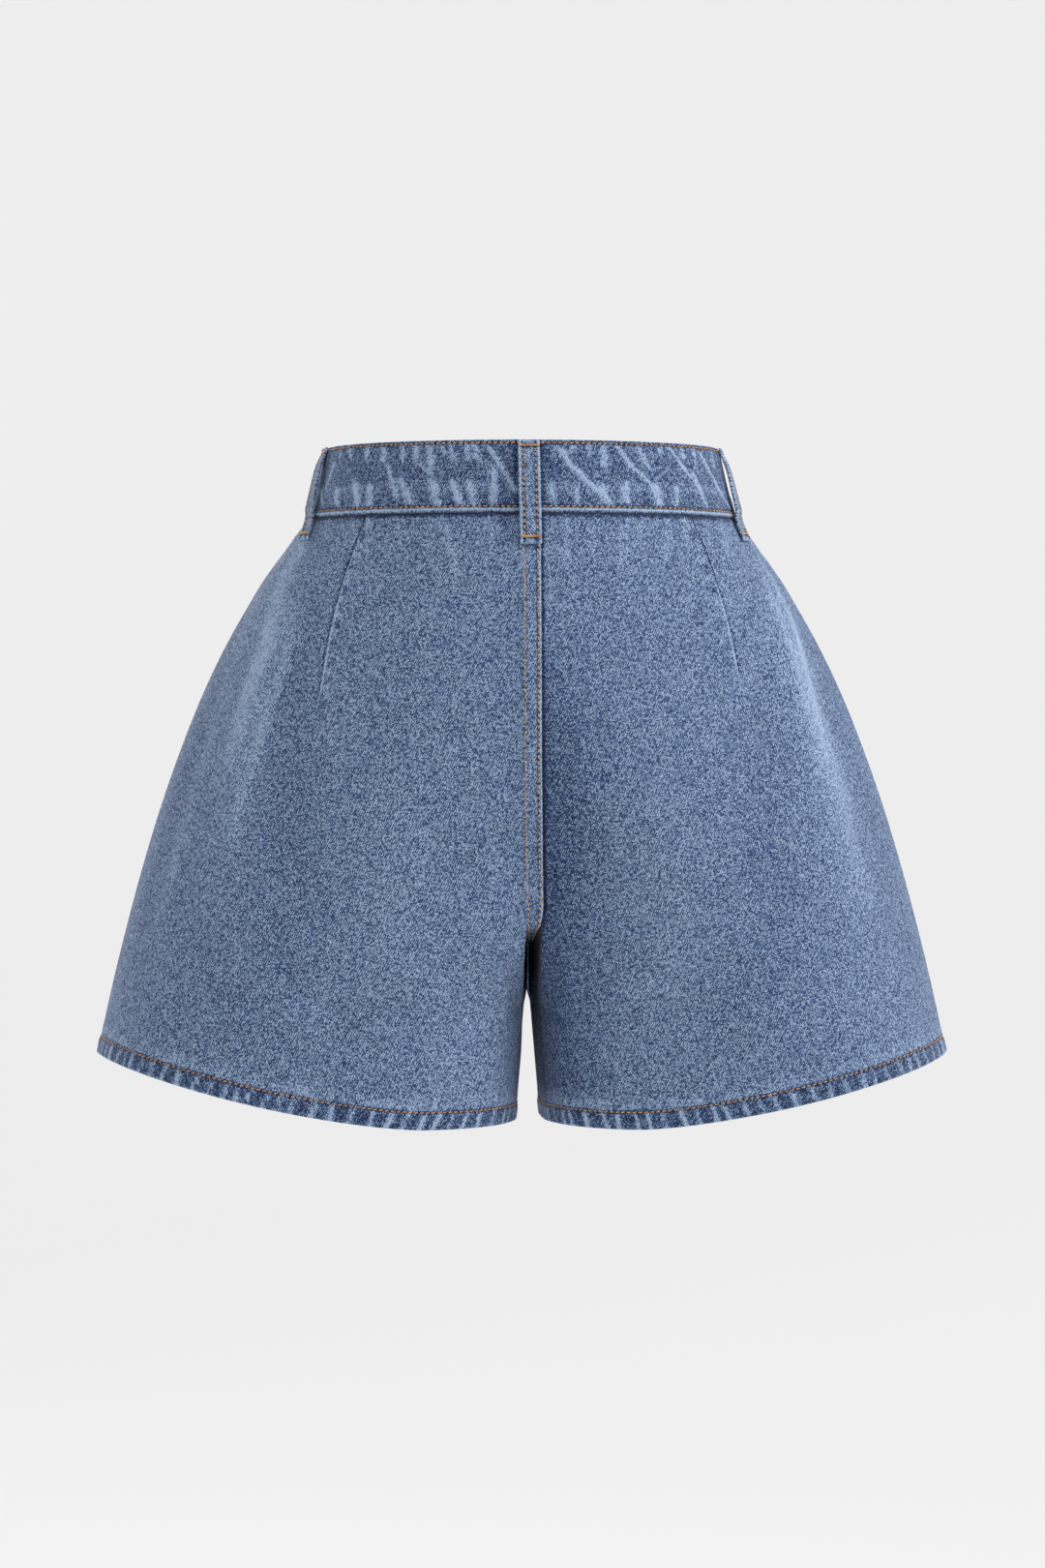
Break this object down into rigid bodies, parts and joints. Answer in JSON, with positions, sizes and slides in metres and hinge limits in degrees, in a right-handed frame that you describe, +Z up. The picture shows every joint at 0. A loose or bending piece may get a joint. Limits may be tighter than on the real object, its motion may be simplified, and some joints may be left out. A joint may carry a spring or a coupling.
{
  "type": "denim shorts",
  "caption": "High-waisted A-line denim shorts, filled out as if worn, with a waistband, belt loops, back darts, a button fly and flared legs with turned hems.",
  "frame": {"origin": "middle of the waist, at half the waistband's height, where the wearer's waist holds the shorts up", "axes": "+Z up along the body, -Y towards the wearer's back, +X towards the wearer's right"},
  "size_m": [0.4728, 0.2057, 0.3748],
  "materials": {
    "denim": "mid-blue stone-washed twill denim, faded along folds, hems and seams",
    "button_metal": "antique copper-toned metal, satin"
  },
  "bodies": {
    "root": {"back_left": "denim", "back_right": "denim", "front_left": "denim", "front_right": "denim", "waistband": "denim", "fly_underlap": "denim", "loop_back": "denim", "loop_side_left": "denim", "loop_side_right": "denim", "loop_front_left": "denim", "loop_front_right": "denim", "button_waist": "button_metal", "button_fly_1": "button_metal", "button_fly_2": "button_metal", "button_fly_3": "button_metal"}
  },
  "joints": []
}
